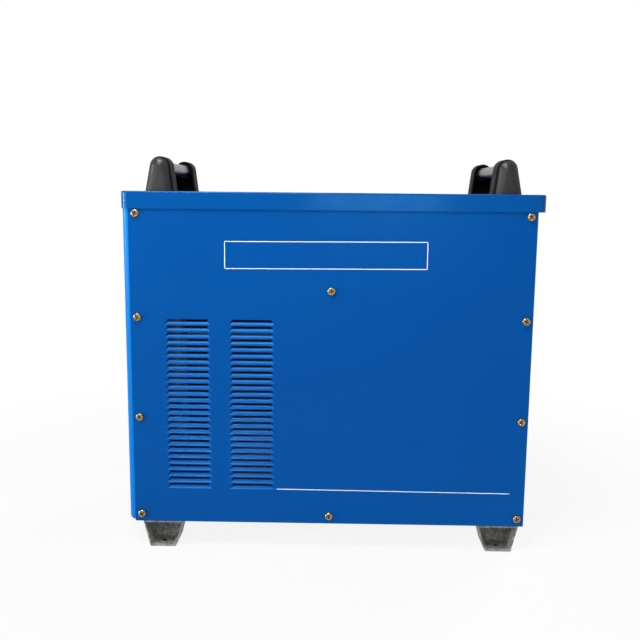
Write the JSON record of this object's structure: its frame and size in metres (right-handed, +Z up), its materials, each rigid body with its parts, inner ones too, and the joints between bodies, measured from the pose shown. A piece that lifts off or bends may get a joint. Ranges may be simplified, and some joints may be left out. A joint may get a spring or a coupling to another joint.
{
  "type": "plasma cutter unit",
  "caption": "Cabinet-type inverter plasma cutter with louvred side panels, bar handles on the lid, cast feet, front connections and a rear fan.",
  "frame": {"origin": "on the floor, under the middle of the lid", "axes": "+Z up, the front with the controls faces -X, the operator's right-hand side panel faces -Y"},
  "size_m": [0.6122, 0.3004, 0.5905],
  "materials": {
    "case_paint": "smooth blue enamel",
    "bezel_paint": "smooth lighter blue enamel",
    "lid_paint": "smooth blue enamel",
    "black_paint": "satin black enamel",
    "zinc_sheet": "zinc plated",
    "grip_steel": "satin",
    "black_plastic": "fine grain",
    "grey_plastic": "fine grain",
    "gloss_black": "polished",
    "display_red": "smoked",
    "lamp_red": "clear lens",
    "light_plastic": "moulded",
    "foot_casting": "rough cast",
    "yellow_zinc": "yellow passivated",
    "brass": "machined",
    "board": "laminate",
    "insulator": "laminate",
    "fin_aluminium": "extruded",
    "module_black": "moulded",
    "core_steel": "laminated",
    "copper_winding": "enamelled",
    "hose_rubber": "smooth",
    "maroon_plastic": "moulded",
    "pot_blue": "moulded"
  },
  "bodies": {
    "cabinet": {"base_tray": "case_paint", "front_bezel": "bezel_paint", "front_panel": "black_paint", "control_fascia": "grey_plastic", "rear_panel": "case_paint", "rear_frame": "case_paint", "side_panel_right": "case_paint", "side_panel_left": "case_paint", "top_cover": "lid_paint", "top_rails": "zinc_sheet", "mid_shelf": "black_paint", "handle_post_front_right": "black_plastic", "handle_post_front_left": "black_plastic", "handle_post_rear_right": "black_plastic", "handle_post_rear_left": "black_plastic", "handle_tube_front": "grip_steel", "handle_tube_rear": "grip_steel", "foot_front_right": "foot_casting", "foot_front_left": "foot_casting", "foot_rear_right": "foot_casting", "foot_rear_left": "foot_casting", "side_panel_screws": "yellow_zinc", "handle_bolts": "yellow_zinc", "foot_bolts": "yellow_zinc", "panel_screws": "zinc_sheet", "current_potentiometer": "pot_blue", "display_window": "display_red", "mode_switch_body": "black_plastic", "gas_switch_body": "black_plastic", "indicator_lamps": "lamp_red", "torch_coupling": "brass", "pilot_terminal": "maroon_plastic", "control_socket": "zinc_sheet", "output_socket": "gloss_black", "fan_frame": "black_plastic", "fan_guard": "zinc_sheet", "breaker_body": "light_plastic", "cable_gland": "black_plastic", "gas_inlet": "brass", "earth_stud": "yellow_zinc", "tunnel_boards": "insulator", "heatsink_lower": "fin_aluminium", "heatsink_upper": "fin_aluminium", "igbt_modules": "module_black", "rectifier_modules": "module_black", "power_board": "board", "capacitor_bank": "module_black", "transformer_core": "core_steel", "transformer_winding": "copper_winding", "output_choke": "copper_winding", "control_board": "board", "control_transformer": "core_steel", "arc_starter": "module_black", "gas_valve": "brass", "gas_hose": "hose_rubber"},
    "current_dial_knob": {"current_knob": "gloss_black"},
    "mode_switch_rocker": {"mode_rocker": "grey_plastic"},
    "gas_switch_rocker": {"gas_rocker": "grey_plastic"},
    "mains_breaker_lever": {"breaker_lever": "gloss_black"},
    "fan_impeller": {"fan_rotor": "grey_plastic"}
  },
  "joints": [
    {"name": "current_dial", "type": "hinge", "parent": "cabinet", "child": "current_dial_knob", "pos_m": [-0.2719, 0, 0.443], "axis": [1, 0, 0], "range_deg": [-150, 150]},
    {"name": "mode_switch", "type": "hinge", "parent": "cabinet", "child": "mode_switch_rocker", "pos_m": [-0.2689, -0.068, 0.443], "axis": [0, -1, 0], "range_deg": [0, 16]},
    {"name": "gas_switch", "type": "hinge", "parent": "cabinet", "child": "gas_switch_rocker", "pos_m": [-0.2689, 0.068, 0.443], "axis": [0, -1, 0], "range_deg": [0, 16]},
    {"name": "mains_breaker", "type": "hinge", "parent": "cabinet", "child": "mains_breaker_lever", "pos_m": [0.2601, 0.07, 0.452], "axis": [0, -1, 0], "range_deg": [0, 70]},
    {"name": "fan_spin", "type": "hinge", "parent": "cabinet", "child": "fan_impeller", "pos_m": [0.2401, 0, 0.164], "axis": [1, 0, 0], "continuous": true}
  ]
}
